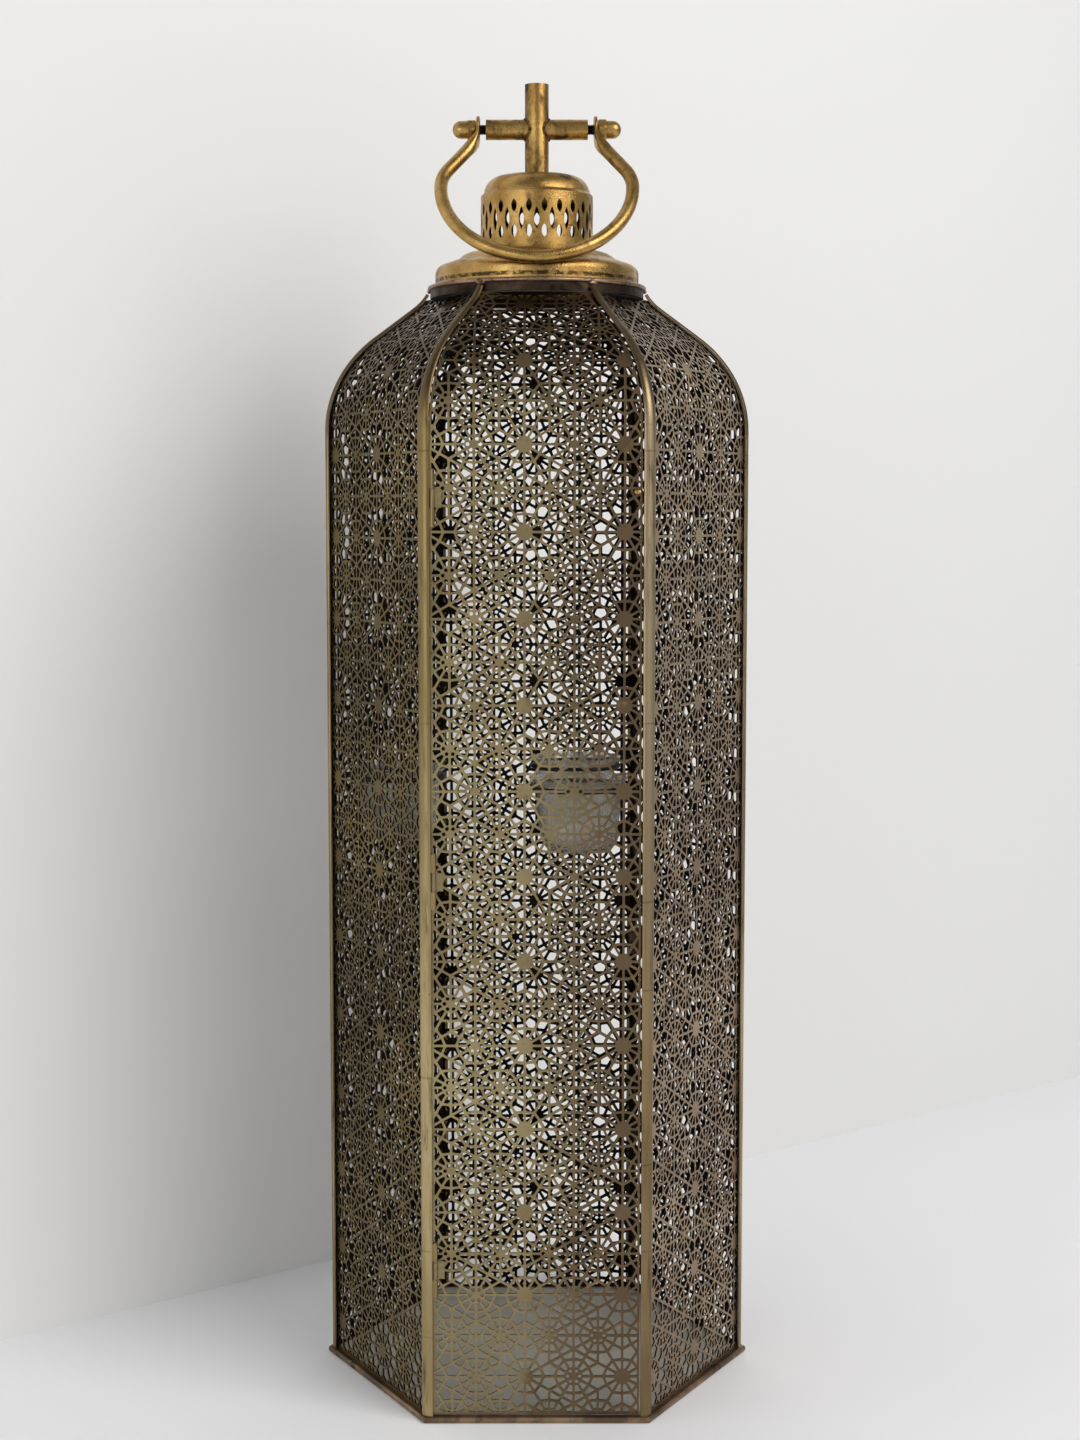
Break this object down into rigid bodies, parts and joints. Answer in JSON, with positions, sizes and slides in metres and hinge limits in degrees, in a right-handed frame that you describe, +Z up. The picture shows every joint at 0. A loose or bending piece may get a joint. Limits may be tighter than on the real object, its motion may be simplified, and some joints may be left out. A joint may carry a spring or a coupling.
{
  "type": "lantern candle holder",
  "caption": "Tall six-sided pierced metal lantern with a curved shoulder, slotted chimney, swinging loop handle, hinged door panel and glass cups on wire rings inside",
  "frame": {"origin": "on the floor, under the middle of the hexagonal base", "axes": "+Z up along the lantern's axis; the door panel faces -Y; +X is to the right of a person facing the door"},
  "size_m": [0.278, 0.2408, 0.8273],
  "materials": {
    "rib_brass": "aged, satin",
    "panel_bronze": "aged bronze, satin",
    "old_gold_brass": "antique gold with dark patina",
    "dark_bronze": "dark bronze, satin",
    "floor_grey": "matte light grey",
    "dark_steel": "blackened",
    "clear_glass": "clear, faint green"
  },
  "bodies": {
    "lantern": {"base_rim": "dark_bronze", "base_plate": "floor_grey", "panel_front_right": "panel_bronze", "panel_back_right": "panel_bronze", "panel_back": "panel_bronze", "panel_back_left": "panel_bronze", "panel_front_left": "panel_bronze", "rib_front_right": "rib_brass", "rib_right": "rib_brass", "rib_back_right": "rib_brass", "rib_back_left": "rib_brass", "rib_left": "rib_brass", "rib_front_left": "rib_brass", "neck_collar": "dark_bronze", "neck_wire": "dark_bronze", "cap": "old_gold_brass", "chimney": "old_gold_brass", "chimney_lid": "old_gold_brass", "post": "old_gold_brass", "cross_arm_left": "old_gold_brass", "cross_arm_right": "old_gold_brass", "domed_nut_left": "old_gold_brass", "domed_nut_right": "old_gold_brass", "pivot_rod": "dark_steel", "frame_hinge_knuckles": "rib_brass", "hinge_pins": "rib_brass", "door_stop": "rib_brass", "cup_ring_left": "dark_steel", "ring_arm_left": "dark_steel", "cup_ring_front_right": "dark_steel", "ring_arm_front_right": "dark_steel", "cup_ring_back_right": "dark_steel", "ring_arm_back_right": "dark_steel"},
    "door": {"door_panel": "panel_bronze", "door_knob": "rib_brass", "door_hinge_leaves": "rib_brass"},
    "handle": {"handle": "old_gold_brass"},
    "cup_left": {"glass_cup_left": "clear_glass"},
    "cup_front_right": {"glass_cup_front_right": "clear_glass"},
    "cup_back_right": {"glass_cup_back_right": "clear_glass"}
  },
  "joints": [
    {"name": "door_swing", "type": "hinge", "parent": "lantern", "child": "door", "pos_m": [-0.0619, -0.1178, 0.336], "axis": [0, 0, -1], "range_deg": [0, 115]},
    {"name": "handle_swing", "type": "hinge", "parent": "lantern", "child": "handle", "pos_m": [0, 0, 0.7994], "axis": [-1, 0, 0], "range_deg": [0, 282.8]},
    {"name": "cup_left_lift", "type": "slide", "parent": "lantern", "child": "cup_left", "axis": [0, 0, 1], "range_m": [0, 0.06]},
    {"name": "cup_front_right_lift", "type": "slide", "parent": "lantern", "child": "cup_front_right", "axis": [0, 0, 1], "range_m": [0, 0.06]},
    {"name": "cup_back_right_lift", "type": "slide", "parent": "lantern", "child": "cup_back_right", "axis": [0, 0, 1], "range_m": [0, 0.06]}
  ]
}
